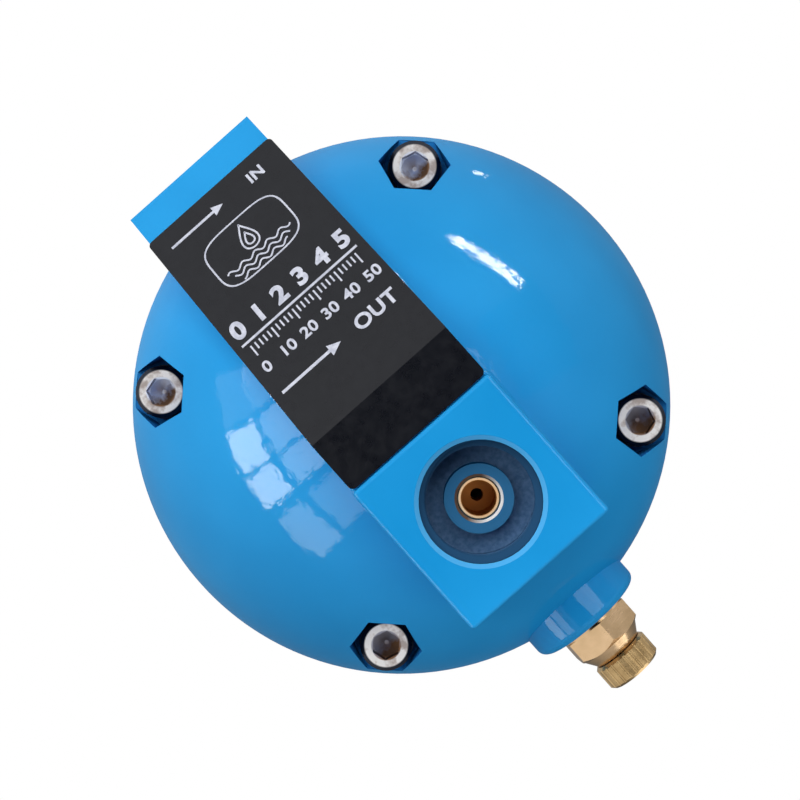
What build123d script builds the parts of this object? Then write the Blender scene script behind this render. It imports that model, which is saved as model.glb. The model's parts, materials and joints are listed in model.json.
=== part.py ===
from build123d import *
from math import asin, atan2, cos, degrees, radians, sin, sqrt, tan
import os

# Automatic float drain valve: a cast ball housing in two halves, with a channel
# block on the front that carries the inlet port on top and the outlet port below.
# Millimetres, +Z up, front towards -Y. The origin is on the inlet port's axis,
# where its full thread starts.

# ---- housing ----
ball_radius = 55.0            # outside of the ball
wall = 5.0                    # casting wall behind the dome
inlet_stand = 5.0             # inlet face above the top of the ball
inlet_offset = 16.6           # inlet axis in front of the split plane
block_depth = 30.0            # channel block at its inlet end, front to back
block_inset = 0.65            # channel block's sides inside the pad's
block_corner = 1.2            # upright corners of the inlet end
channel_step = 2.4            # channel face behind the outlet face
bend_height = 4.6             # where the sloping channel face turns upright
bend_radius = 5.5
casting_fillet = 0.8
root_fillet = 1.5             # where the block and the pad grow out of the ball

# ---- ports ----
port_radius = 20.955 / 2      # G1/2 thread, major diameter
port_chamfer = 0.8            # lead-in at each mouth
inlet_depth = 16.0
inlet_cone = 2.5              # drill point between thread and passage
inlet_passage = 6.5           # radius of the hole from the inlet into the chamber
pad_size = 30.7               # square outlet pad
pad_stand = 12.0              # outlet face in front of the ball
port_drop = 21.0              # outlet axis below the ball's centre
thread_depth = 9.0            # full outlet thread
outlet_relief = 10.0          # radius behind the outlet thread
outlet_depth = 15.0
nozzle_boss_radius = 6.1      # boss around the nozzle inside the outlet
nozzle_boss_depth = 9.5       # its top, below the outlet face

# ---- screws that close the ball ----
bolt_inset = 8.75             # bolt axis inside the ball's outline
bolt_count = 4
bolt_radius = 3.0             # M6
bolt_length = 45.0
bolt_hole_gap = 0.3
head_radius = 5.0
head_height = 6.0
head_chamfer = 0.7
head_socket = 5.0             # across flats
socket_depth = 3.2
socket_point = 1.2
socket_taper = 60.0           # degrees
lock_washer_height = 1.6
flat_washer_height = 1.6
washer_radius = 5.3
nut_flats = 10.0
nut_height = 5.0
nut_round = 5.6               # radius that takes off the nut's corners
pocket_flats = 11.9
pocket_floor = 17.0           # from the split plane, front and rear alike

# ---- seal between the halves ----
seal_inset = 6.65             # ring's centre line inside the bolt circle
chamber_inset = 3.1           # chamber's wall inside the ring's centre line
seal_section = 3.0            # free diameter of the ring
groove_width = 3.6
groove_depth = 2.4

# ---- label ----
label_thickness = 0.9
label_overhang = 0.4          # beyond each side of the channel block
label_top_gap = 7.0           # from the inlet face down to the label
label_pad_gap = 0.3           # above the outlet pad
label_corner = 1.0

# ---- outlet nozzle ----
outlet_wall = 11.0            # from the outlet's floor to the flat pad inside the chamber
valve_pad_width = 22.0
valve_pad_top = 1.0           # pad's upper end above the ball's centre
nozzle_radius = 3.75
nozzle_recess = 11.0          # nozzle's end below the outlet face
nozzle_lead = 0.2
nozzle_hole_chamfer = 0.5
nozzle_bore = 3.05
nozzle_bore_depth = 10.0
orifice_radius = 1.15
nozzle_flats = 12.0
nozzle_hex_height = 3.0
seat_radius = 2.4
seat_height = 0.6
ring_radius = 6.0             # flat sealing ring under the bracket
ring_height = 1.5
thread_gap = 0.05             # between a thread and its hole, all drawn plain

# ---- float lever ----
sheet = 1.0                   # bracket and lever sheet
pivot_stand = 10.5            # pivot behind the flat pad
pivot_drop = 8.0
pivot_radius = 1.5
pivot_gap = 0.05
ear_radius = 4.2
bracket_foot = 6.2            # bracket plate below the nozzle's axis
bracket_top = 5.5             # bracket plate above the pivot
lever_width = 12.0
lever_gap = 0.2               # lever to bracket ear, each side
lever_round = 3.5             # lever's eye
lever_tab_foot = 5.5          # lever's tab below the nozzle's axis
lever_reach = 10.5            # pivot to the float's seat on the lever
lever_leg = 3.0               # width of the leg behind the pivot
lever_shoulder = 5.0          # pivot down to the tab
lever_arm_depth = 4.0         # arm below the float's axis
clip_thickness = 0.7
clip_radius = 3.2
clip_groove = 0.35
screw_radius = 1.5            # bracket screws
screw_head_radius = 2.5
screw_head_height = 1.8
screw_length = 7.0
screw_spacing = 6.8
screw_lift = 2.0              # screws above the pivot
screw_slot = 0.8

# ---- float ----
float_gap = 1.5               # float to the chamber's wall below it
float_wall = 0.6
float_drop = 2.0              # float's centre below the pivot
float_neck_radius = 4.0
float_neck = 1.0
stud_radius = 2.0
float_nut_flats = 7.0
float_nut_height = 3.0
stud_tail = 1.0

# ---- plug ----
plug_radius = 3.5
plug_height = 2.5
plug_recess = 1.5
holder_radius = 4.6
holder_stem_radius = 1.5
rivet_radius = 2.2
rivet_height = 0.7

# ---- manual drain ----
drain_offset = 12.6           # axis in front of the split plane
drain_boss_radius = 12.1
boss_stand = 1.5              # boss face below the bottom of the ball
boss_fillet = 1.8
drain_thread_radius = 4.75
drain_thread_length = 10.0
drain_passage = 2.5
drain_washer_radius = 7.4
drain_washer_height = 1.0
drain_flats = 14.0
drain_hex_height = 5.0
drain_hex_turn = 36.0         # degrees, a corner a little left of the front
drain_hex_chamfer = 0.9
cone_top_radius = 6.85
cone_foot_radius = 5.2
cone_height = 2.5
spindle_radius = 2.5
spindle_gap = 0.05
spindle_nose_radius = 2.0
spindle_nose = 4.5
seat_lip = 2.0                # body above the spindle's seat
seat_passage = 1.5
tip_height = 2.0
tip_radius = 2.2
tip_stem_radius = 1.0
tip_stem = 2.0
water_hole = 0.9              # radius of the hole along the spindle
cross_hole = 0.6
cross_drop = 3.4              # cross hole below the spindle's end
oring_section = 1.2
oring_depth = 0.9             # groove in the spindle
oring_rise = 3.0              # groove above the cone's foot
knob_gap = 0.2
knob_radius = 6.0
knob_height = 5.3
knob_chamfer = 0.6
knob_recess = 1.5             # spindle's end above the knob's foot
knob_flutes = 24
flute_radius = 0.5
flute_depth = 0.15
knob_hole = 1.5

# ---- heights, radii and reaches from the ball's centre ----
inlet_height = ball_radius + inlet_stand
drain_height = ball_radius + boss_stand
pad_reach = ball_radius + pad_stand
channel_reach = pad_reach - channel_step
block_width = pad_size - 2 * block_inset
label_width = block_width + 2 * label_overhang
bolt_circle = ball_radius - bolt_inset
seal_radius = bolt_circle - seal_inset
cavity_radius = seal_radius - chamber_inset
float_radius = cavity_radius - pivot_drop - float_drop - float_gap
outlet_floor = pad_reach - outlet_depth
valve_pad_reach = outlet_floor - outlet_wall
pivot_reach = valve_pad_reach - pivot_stand

# ---- frame ----
ball = Vector(0, inlet_offset, port_chamfer - inlet_height)
front = Plane(origin=ball, x_dir=(1, 0, 0), z_dir=(0, -1, 0))
side = Plane(origin=ball, x_dir=(0, 1, 0), z_dir=(1, 0, 0))
level = Plane(origin=ball, x_dir=(1, 0, 0), z_dir=(0, 0, 1))
ball_axis = Axis(ball, (0, 1, 0))
outlet_axis = Axis(ball - Vector(0, 0, port_drop), (0, 1, 0))
inlet_axis = Axis(ball - Vector(0, inlet_offset, 0), (0, 0, 1))
drain_axis = Axis(ball - Vector(0, drain_offset, 0), (0, 0, 1))

# Values that several pieces share.
dome_radius = ball_radius - wall
dome_angle = degrees(asin(cavity_radius / dome_radius))
dome_start = sqrt(dome_radius**2 - cavity_radius**2)
block_front = inlet_offset + block_depth / 2
block_back = inlet_offset - block_depth / 2
slope = atan2(channel_reach - block_front, inlet_height - bend_height)
pad_top = pad_size / 2 - port_drop
pad_foot = -port_drop - pad_size / 2
bolt_spots = PolarLocations(bolt_circle, bolt_count, start_angle=45)
screw_rise = screw_lift - pivot_drop
plate_top = bracket_top - pivot_drop
plate_foot = -port_drop - bracket_foot

# ================= housing =================

with BuildPart() as front_shell:
    # front half of the ball
    with BuildSketch(side):
        with BuildLine():
            Line((0, 0), (0, ball_radius))
            CenterArc((0, 0), ball_radius, 90, 90)
            Line((-ball_radius, 0), (0, 0))
        make_face()
    revolve(axis=ball_axis)
    # channel block: upright behind the outlet, sloping back to the inlet
    with BuildSketch(side) as channel:
        with BuildLine():
            Polyline(
                (-block_back, inlet_height),
                (-block_front, inlet_height),
                (-channel_reach, bend_height),
                (-channel_reach, -port_drop),
                (-block_back, -port_drop),
                close=True,
            )
        make_face()
        bend = channel.vertices().group_by(Axis.X)[0].sort_by(Axis.Y)[-1]
        fillet(bend, bend_radius)
    extrude(amount=block_width / 2, both=True)
    # square outlet pad
    with BuildSketch(front):
        with Locations((0, -port_drop)):
            RectangleRounded(pad_size, pad_size, casting_fillet)
    extrude(amount=pad_reach)
    pad_face = front_shell.faces().sort_by(Axis.Y)[0]
    fillet(pad_face.edges(), casting_fillet * 0.9)
    # boss for the manual drain
    with BuildSketch(level.offset(-drain_height)):
        with Locations((0, -drain_offset)):
            Circle(drain_boss_radius)
    extrude(amount=drain_height)
    boss_face = front_shell.faces().sort_by(Axis.Z)[0]
    fillet(boss_face.edges(), boss_fillet)
    # cast roots, where the block and the pad grow out of the ball
    roots = front_shell.edges().filter_by(
        lambda e: abs((e @ 0.3 - ball).length - ball_radius) < 0.001
        and abs((e @ 0.6 - ball).length - ball_radius) < 0.001
        and e.center().Y < ball.Y - boss_stand / 4
        and e.center().Z > ball.Z + pad_foot - root_fillet)
    fillet(roots, root_fillet)
    # float chamber
    with BuildSketch(side) as chamber:
        with BuildLine():
            Line((0, 0), (0, cavity_radius))
            Line((0, cavity_radius), (-dome_start, cavity_radius))
            CenterArc((0, 0), dome_radius, 180 - dome_angle, dome_angle)
            Line((-dome_radius, 0), (0, 0))
        make_face()
    revolve(axis=ball_axis, mode=Mode.SUBTRACT)
    # flat pad that carries the valve bracket and the nozzle
    with BuildSketch(front.offset(valve_pad_reach)):
        with Locations((0, (valve_pad_top - port_drop - valve_pad_width / 2) / 2)):
            RectangleRounded(
                valve_pad_width,
                valve_pad_top + port_drop + valve_pad_width / 2,
                valve_pad_width / 4,
            )
    extrude(amount=outlet_floor - valve_pad_reach)
    # outlet port: thread, relief, and the boss left standing round the nozzle
    with BuildSketch(side):
        with BuildLine():
            Polyline(
                (-pad_reach, -port_drop),
                (-pad_reach, -port_drop + port_radius + port_chamfer),
                (-pad_reach + port_chamfer, -port_drop + port_radius),
                (-pad_reach + thread_depth, -port_drop + port_radius),
                (-pad_reach + thread_depth, -port_drop + outlet_relief),
                (-outlet_floor, -port_drop + outlet_relief),
                (-outlet_floor, -port_drop + nozzle_boss_radius),
                (-pad_reach + nozzle_boss_depth, -port_drop + nozzle_boss_radius),
                (-pad_reach + nozzle_boss_depth, -port_drop),
                close=True,
            )
        make_face()
    revolve(axis=outlet_axis, mode=Mode.SUBTRACT)
    # nozzle hole, chamfered at the boss, and the seat of its sealing ring
    with BuildSketch(front.offset(valve_pad_reach)):
        with Locations((0, -port_drop)):
            Circle(nozzle_radius + thread_gap)
    extrude(amount=pad_reach - valve_pad_reach, mode=Mode.SUBTRACT)
    boss_top = front_shell.faces().filter_by(Axis.Y).sort_by(
        lambda f: abs(f.center().Y - (inlet_offset - pad_reach + nozzle_boss_depth)))[0]
    chamfer(boss_top.edges().sort_by(SortBy.LENGTH)[0], nozzle_hole_chamfer)
    with BuildSketch(front.offset(valve_pad_reach)):
        with Locations((0, -port_drop)):
            Circle(ring_radius)
    extrude(amount=ring_height, mode=Mode.SUBTRACT)
    # holes for the bracket screws
    with BuildSketch(front.offset(valve_pad_reach)):
        with Locations((0, screw_rise)):
            with GridLocations(screw_spacing, 1, 2, 1):
                Circle(screw_radius + thread_gap)
    extrude(amount=screw_length, mode=Mode.SUBTRACT)
    # inlet port and its passage into the chamber
    with BuildSketch(side):
        with BuildLine():
            Polyline(
                (-inlet_offset, inlet_height),
                (-inlet_offset + port_radius + port_chamfer, inlet_height),
                (-inlet_offset + port_radius, inlet_height - port_chamfer),
                (-inlet_offset + port_radius, inlet_height - inlet_depth),
                (-inlet_offset + inlet_passage, inlet_height - inlet_depth - inlet_cone),
                (-inlet_offset + inlet_passage, 0),
                (-inlet_offset, 0),
                close=True,
            )
        make_face()
    revolve(axis=inlet_axis, mode=Mode.SUBTRACT)
    # drain hole: tapped, then a smaller passage into the chamber
    with BuildSketch(level.offset(-drain_height)):
        with Locations((0, -drain_offset)):
            Circle(drain_thread_radius + thread_gap)
    extrude(amount=drain_thread_length + thread_gap, mode=Mode.SUBTRACT)
    with BuildSketch(level.offset(-drain_height)):
        with Locations((0, -drain_offset)):
            Circle(drain_passage)
    extrude(amount=drain_height - cavity_radius + drain_passage, mode=Mode.SUBTRACT)
    # bolt holes and their hexagonal pockets
    with BuildSketch(front):
        with bolt_spots:
            Circle(bolt_radius + bolt_hole_gap)
    extrude(amount=ball_radius, mode=Mode.SUBTRACT)
    with BuildSketch(front.offset(pocket_floor)):
        with bolt_spots:
            RegularPolygon(pocket_flats / 2, 6, major_radius=False, rotation=30)
    extrude(amount=ball_radius, mode=Mode.SUBTRACT)
front_shell.part.label = "front_shell"

with BuildPart() as rear_shell:
    with BuildSketch(side):
        with BuildLine():
            Line((0, 0), (ball_radius, 0))
            CenterArc((0, 0), ball_radius, 0, 90)
            Line((0, ball_radius), (0, 0))
        make_face()
    revolve(axis=ball_axis)
    with BuildSketch(side):
        with BuildLine():
            Line((0, 0), (0, cavity_radius))
            Line((0, cavity_radius), (dome_start, cavity_radius))
            CenterArc((0, 0), dome_radius, 0, dome_angle)
            Line((dome_radius, 0), (0, 0))
        make_face()
    revolve(axis=ball_axis, mode=Mode.SUBTRACT)
    # groove for the ring between the halves
    with BuildSketch(front.offset(-groove_depth)):
        Circle(seal_radius + groove_width / 2)
        Circle(seal_radius - groove_width / 2, mode=Mode.SUBTRACT)
    extrude(amount=groove_depth, mode=Mode.SUBTRACT)
    with BuildSketch(front):
        with bolt_spots:
            Circle(bolt_radius + bolt_hole_gap)
    extrude(amount=-ball_radius, mode=Mode.SUBTRACT)
    with BuildSketch(front.offset(-pocket_floor)):
        with bolt_spots:
            RegularPolygon(pocket_flats / 2, 6, major_radius=False, rotation=30)
    extrude(amount=-ball_radius, mode=Mode.SUBTRACT)
rear_shell.part.label = "rear_shell"

with BuildPart() as shell_seal:
    # a round ring, squeezed flat between the groove's floor and the front shell
    with BuildSketch(side):
        with Locations((groove_depth / 2, seal_radius)):
            Circle(seal_section / 2)
            Rectangle(groove_depth, seal_section * 2, mode=Mode.INTERSECT)
    revolve(axis=ball_axis)
shell_seal.part.label = "shell_seal"

# ================= fasteners of the ball =================

head_seat = pocket_floor + lock_washer_height

with BuildPart() as shell_bolts:
    with BuildSketch(front.offset(head_seat)):
        with bolt_spots:
            Circle(head_radius)
    extrude(amount=head_height)
    chamfer(shell_bolts.faces().group_by(Axis.Y)[0].edges(), head_chamfer)
    with BuildSketch(front.offset(head_seat)):
        with bolt_spots:
            Circle(bolt_radius)
    extrude(amount=-bolt_length)
    with BuildSketch(front.offset(head_seat + head_height)):
        with bolt_spots:
            RegularPolygon(head_socket / 2, 6, major_radius=False)
    extrude(amount=-socket_depth, mode=Mode.SUBTRACT)
    # drill point at the bottom of each socket
    with BuildSketch(front.offset(head_seat + head_height - socket_depth)):
        with bolt_spots:
            Circle(head_socket / 2)
    extrude(amount=-socket_point, taper=socket_taper, mode=Mode.SUBTRACT)
shell_bolts.part.label = "shell_bolts"

with BuildPart() as lock_washers:
    # split spring washers
    with BuildSketch(front.offset(pocket_floor)):
        with bolt_spots:
            Circle(washer_radius)
            Circle(bolt_radius + bolt_hole_gap, mode=Mode.SUBTRACT)
    extrude(amount=lock_washer_height)
    with BuildSketch(front.offset(pocket_floor)):
        with bolt_spots:
            with Locations((-washer_radius, 0)):
                Rectangle(washer_radius, lock_washer_height / 2)
    extrude(amount=lock_washer_height, mode=Mode.SUBTRACT)
lock_washers.part.label = "lock_washers"

with BuildPart() as nut_washers:
    with BuildSketch(front.offset(-pocket_floor)):
        with bolt_spots:
            Circle(washer_radius)
            Circle(bolt_radius + bolt_hole_gap, mode=Mode.SUBTRACT)
    extrude(amount=-flat_washer_height)
nut_washers.part.label = "nut_washers"

with BuildPart() as shell_nuts:
    with BuildSketch(front.offset(-pocket_floor - flat_washer_height)):
        with bolt_spots:
            RegularPolygon(nut_flats / 2, 6, major_radius=False, rotation=30)
    extrude(amount=-nut_height)
    # the corners are turned off at both faces
    with BuildSketch(front.offset(-pocket_floor - flat_washer_height)):
        with bolt_spots:
            Circle(nut_round)
    extrude(amount=-nut_height, mode=Mode.INTERSECT)
    with BuildSketch(front.offset(-pocket_floor - flat_washer_height)):
        with bolt_spots:
            Circle(bolt_radius + thread_gap)
    extrude(amount=-nut_height, mode=Mode.SUBTRACT)
shell_nuts.part.label = "shell_nuts"

# ================= label =================

label_lift = bend_height + label_thickness * tan(slope / 2)
label_top = Vector(-block_front - label_top_gap * tan(slope), inlet_height - label_top_gap)
label_face = label_top + Vector(-cos(slope), sin(slope)) * label_thickness

with BuildPart() as label_plate:
    # a plate bent to the channel face, cut from an outer and an inner outline
    with BuildSketch(side) as strip:
        with BuildLine():
            Polyline(
                (-channel_reach, pad_top + label_pad_gap),
                (-channel_reach, bend_height),
                (label_top.X, label_top.Y),
                (label_face.X, label_face.Y),
                (-channel_reach - label_thickness, label_lift),
                (-channel_reach - label_thickness, pad_top + label_pad_gap),
                close=True,
            )
        make_face()
        inner_bend = strip.vertices().group_by(Axis.X)[1].sort_by(Axis.Y)[-1]
        outer_bend = strip.vertices().group_by(Axis.X)[0].sort_by(Axis.Y)[-1]
        fillet(inner_bend, bend_radius)
        fillet(outer_bend, bend_radius + label_thickness)
    extrude(amount=label_width / 2, both=True)
    corners = label_plate.edges().filter_by(
        lambda e: abs(e.length - label_thickness) < label_thickness / 10)
    fillet(corners, label_corner)
label_plate.part.label = "label_plate"

# ================= outlet valve =================

nozzle_end = pad_reach - nozzle_recess
plate_front = valve_pad_reach                    # bracket plate lies on the pad
plate_back = valve_pad_reach - sheet
flange_back = plate_back - nozzle_hex_height
seat_reach = flange_back - seat_height

with BuildPart() as outlet_nozzle:
    with BuildSketch(front.offset(plate_back)):
        with Locations((0, -port_drop)):
            RegularPolygon(nozzle_flats / 2, 6, major_radius=False)
    extrude(amount=-nozzle_hex_height)
    with BuildSketch(front.offset(plate_back)):
        with Locations((0, -port_drop)):
            Circle(nozzle_radius)
    extrude(amount=nozzle_end - plate_back)
    chamfer(outlet_nozzle.faces().sort_by(Axis.Y)[0].edges(), nozzle_lead)
    with BuildSketch(front.offset(flange_back)):
        with Locations((0, -port_drop)):
            Circle(seat_radius)
    extrude(amount=-seat_height)
    with BuildSketch(front.offset(nozzle_end)):
        with Locations((0, -port_drop)):
            Circle(nozzle_bore)
    extrude(amount=-nozzle_bore_depth, mode=Mode.SUBTRACT)
    with BuildSketch(front.offset(nozzle_end)):
        with Locations((0, -port_drop)):
            Circle(orifice_radius)
    extrude(amount=seat_reach - nozzle_end, mode=Mode.SUBTRACT)
outlet_nozzle.part.label = "outlet_nozzle"

with BuildPart() as nozzle_ring:
    with BuildSketch(front.offset(plate_front)):
        with Locations((0, -port_drop)):
            Circle(ring_radius - thread_gap)
            Circle(nozzle_radius + thread_gap, mode=Mode.SUBTRACT)
    extrude(amount=ring_height)
nozzle_ring.part.label = "nozzle_ring"

ear_inside = lever_width / 2 + lever_gap
ear_outside = ear_inside + sheet

with BuildPart() as lever_bracket:
    # plate on the pad, pierced for the nozzle and two screws
    with BuildSketch(front.offset(plate_back)):
        with Locations((0, (plate_top + plate_foot) / 2)):
            Rectangle(2 * ear_outside, plate_top - plate_foot)
        with Locations((0, -port_drop)):
            Circle(nozzle_radius + thread_gap, mode=Mode.SUBTRACT)
        with Locations((0, screw_rise)):
            with GridLocations(screw_spacing, 1, 2, 1):
                Circle(screw_radius + thread_gap, mode=Mode.SUBTRACT)
    extrude(amount=sheet)
    # two ears that rise from the plate to the pivot
    with BuildSketch(side.offset(ear_inside)):
        with BuildLine():
            Line((-plate_back, -pivot_drop - ear_radius), (-pivot_reach, -pivot_drop - ear_radius))
            CenterArc((-pivot_reach, -pivot_drop), ear_radius, -90, 180)
            Line((-pivot_reach, -pivot_drop + ear_radius), (-plate_back, -pivot_drop + ear_radius))
            Line((-plate_back, -pivot_drop + ear_radius), (-plate_back, -pivot_drop - ear_radius))
        make_face()
        with Locations((-pivot_reach, -pivot_drop)):
            Circle(pivot_radius + thread_gap, mode=Mode.SUBTRACT)
    extrude(amount=sheet)
    mirror(about=side)
lever_bracket.part.label = "lever_bracket"

with BuildPart() as bracket_screws:
    with BuildSketch(front.offset(plate_back)):
        with Locations((0, screw_rise)):
            with GridLocations(screw_spacing, 1, 2, 1):
                Circle(screw_head_radius)
    extrude(amount=-screw_head_height)
    chamfer(bracket_screws.faces().group_by(Axis.Y)[-1].edges(), screw_head_height / 4)
    with BuildSketch(front.offset(plate_back - screw_head_height)):
        with Locations((0, screw_rise)):
            with GridLocations(screw_spacing, 1, 2, 1):
                Rectangle(screw_head_radius * 3, screw_slot)
    extrude(amount=screw_head_height / 2, mode=Mode.SUBTRACT)
    with BuildSketch(front.offset(plate_back)):
        with Locations((0, screw_rise)):
            with GridLocations(screw_spacing, 1, 2, 1):
                Circle(screw_radius)
    extrude(amount=screw_length)
bracket_screws.part.label = "bracket_screws"

with BuildPart() as pivot_pin:
    with BuildSketch(side):
        with Locations((-pivot_reach, -pivot_drop)):
            Circle(pivot_radius)
    extrude(amount=ear_outside + 2 * clip_thickness, both=True)
    # a groove outside each ear for its clip
    with BuildSketch(side.offset(ear_outside)):
        with Locations((-pivot_reach, -pivot_drop)):
            Circle(pivot_radius)
            Circle(pivot_radius - clip_groove, mode=Mode.SUBTRACT)
    extrude(amount=clip_thickness, mode=Mode.SUBTRACT)
    with BuildSketch(side.offset(-ear_outside)):
        with Locations((-pivot_reach, -pivot_drop)):
            Circle(pivot_radius)
            Circle(pivot_radius - clip_groove, mode=Mode.SUBTRACT)
    extrude(amount=-clip_thickness, mode=Mode.SUBTRACT)
pivot_pin.part.label = "pivot_pin"

with BuildPart() as pin_clips:
    # open clips, pushed on from above
    with BuildSketch(side.offset(ear_outside)):
        with Locations((-pivot_reach, -pivot_drop)):
            Circle(clip_radius)
            Circle(pivot_radius - clip_groove, mode=Mode.SUBTRACT)
        with Locations((-pivot_reach, -pivot_drop - clip_radius / 2)):
            Rectangle(pivot_radius, clip_radius, mode=Mode.SUBTRACT)
    extrude(amount=clip_thickness)
    mirror(about=side)
pin_clips.part.label = "pin_clips"

tab_foot = -port_drop - lever_tab_foot
tab_top = -pivot_drop - lever_shoulder
tab_front = -pivot_reach - sheet / 2
leg_back = lever_leg - pivot_reach
web_reach = pivot_reach - lever_reach
float_rise = -pivot_drop - float_drop
arm_foot = float_rise - lever_arm_depth
arm_top = -pivot_drop + lever_round

with BuildPart() as lever_arm:
    # cheek: an eye on the pin, a leg down to the plug and an arm back to the float
    with BuildSketch(side.offset(lever_width / 2 - sheet)):
        with BuildLine():
            Polyline(
                (-pivot_reach - lever_round, -pivot_drop),
                (tab_front, tab_top),
                (tab_front, tab_foot),
                (leg_back, tab_foot),
                (leg_back, arm_foot),
                (-web_reach, arm_foot),
                (-web_reach, arm_top),
                (-pivot_reach, arm_top),
            )
            CenterArc((-pivot_reach, -pivot_drop), lever_round, 90, 90)
        make_face()
        with Locations((-pivot_reach, -pivot_drop)):
            Circle(pivot_radius + pivot_gap, mode=Mode.SUBTRACT)
    extrude(amount=sheet)
    mirror(about=side)
    # tab that carries the plug
    with BuildSketch(front.offset(pivot_reach - sheet / 2)):
        with Locations((0, (tab_foot + tab_top) / 2)):
            Rectangle(lever_width, tab_top - tab_foot)
        with Locations((0, -port_drop)):
            Circle(holder_stem_radius + thread_gap, mode=Mode.SUBTRACT)
    extrude(amount=sheet)
    # web that carries the float
    with BuildSketch(front.offset(web_reach)):
        with Locations((0, (arm_top + arm_foot) / 2)):
            Rectangle(lever_width, arm_top - arm_foot)
        with Locations((0, float_rise)):
            Circle(stud_radius + thread_gap, mode=Mode.SUBTRACT)
    extrude(amount=sheet)
lever_arm.part.label = "lever_arm"

holder_back = pivot_reach + sheet / 2
plug_back = seat_reach - plug_height
with BuildPart() as plug_holder:
    # cup for the plug, with a stem riveted through the lever's tab
    with BuildSketch(front.offset(holder_back)):
        with Locations((0, -port_drop)):
            Circle(holder_radius)
    extrude(amount=plug_back + plug_recess - holder_back)
    with BuildSketch(front.offset(plug_back)):
        with Locations((0, -port_drop)):
            Circle(plug_radius + thread_gap)
    extrude(amount=plug_recess, mode=Mode.SUBTRACT)
    with BuildSketch(front.offset(holder_back)):
        with Locations((0, -port_drop)):
            Circle(holder_stem_radius)
    extrude(amount=-sheet)
    with BuildSketch(front.offset(holder_back - sheet)):
        with Locations((0, -port_drop)):
            Circle(rivet_radius)
    extrude(amount=-rivet_height)
    chamfer(plug_holder.faces().sort_by(Axis.Y)[-1].edges(), rivet_height / 2)
plug_holder.part.label = "plug_holder"

with BuildPart() as valve_plug:
    with BuildSketch(front.offset(plug_back)):
        with Locations((0, -port_drop)):
            Circle(plug_radius)
    extrude(amount=plug_height)
valve_plug.part.label = "valve_plug"

# ================= float =================

neck_angle = asin(float_neck_radius / float_radius)
neck_chord = float_radius * cos(neck_angle)
float_centre = ball + Vector(0, neck_chord + float_neck - web_reach, float_rise)
float_plane = Plane(origin=float_centre, x_dir=(0, 1, 0), z_dir=(1, 0, 0))
float_line = Axis(float_centre, (0, 1, 0))

with BuildPart() as float_front_half:
    with BuildSketch(float_plane):
        with BuildLine():
            Line((0, float_radius - float_wall), (0, float_radius))
            CenterArc((0, 0), float_radius, 90, 90)
            Line((-float_radius, 0), (-float_radius + float_wall, 0))
            CenterArc((0, 0), float_radius - float_wall, 90, 90)
        make_face()
    revolve(axis=float_line)
float_front_half.part.label = "float_front_half"

with BuildPart() as float_rear_half:
    with BuildSketch(float_plane):
        with BuildLine():
            Line((0, float_radius - float_wall), (0, float_radius))
            CenterArc((0, 0), float_radius, 0, 90)
            Line((float_radius, 0), (float_radius - float_wall, 0))
            CenterArc((0, 0), float_radius - float_wall, 0, 90)
        make_face()
    revolve(axis=float_line)
float_rear_half.part.label = "float_rear_half"

with BuildPart() as float_stud:
    # neck welded to the float, with a stud through the lever's web
    with BuildSketch(float_plane):
        with BuildLine():
            Line((-neck_chord - float_neck, 0), (-neck_chord - float_neck, float_neck_radius))
            Line((-neck_chord - float_neck, float_neck_radius), (-neck_chord, float_neck_radius))
            CenterArc((0, 0), float_radius, 180 - degrees(neck_angle), degrees(neck_angle))
            Line((-float_radius, 0), (-neck_chord - float_neck, 0))
        make_face()
    revolve(axis=float_line)
    with BuildSketch(front.offset(web_reach)):
        with Locations((0, float_rise)):
            Circle(stud_radius)
    extrude(amount=sheet + float_nut_height + stud_tail)
float_stud.part.label = "float_stud"

with BuildPart() as float_nut:
    with BuildSketch(front.offset(web_reach + sheet)):
        with Locations((0, float_rise)):
            RegularPolygon(float_nut_flats / 2, 6, major_radius=False)
            Circle(stud_radius + thread_gap, mode=Mode.SUBTRACT)
    extrude(amount=float_nut_height)
float_nut.part.label = "float_nut"

# ================= manual drain =================

body_top = -drain_height + drain_thread_length
hex_top = -drain_height - drain_washer_height
hex_foot = hex_top - drain_hex_height
cone_foot = hex_foot - cone_height
spindle_seat = body_top - seat_lip
spindle_top = spindle_seat - tip_height
hex_corner = drain_flats / 2 / cos(radians(30))
knob_top = cone_foot - knob_gap
knob_foot = knob_top - knob_height

with BuildPart() as drain_washer:
    with BuildSketch(level.offset(-drain_height)):
        with Locations((0, -drain_offset)):
            Circle(drain_washer_radius)
            Circle(drain_thread_radius + thread_gap, mode=Mode.SUBTRACT)
    extrude(amount=-drain_washer_height)
drain_washer.part.label = "drain_washer"

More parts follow.
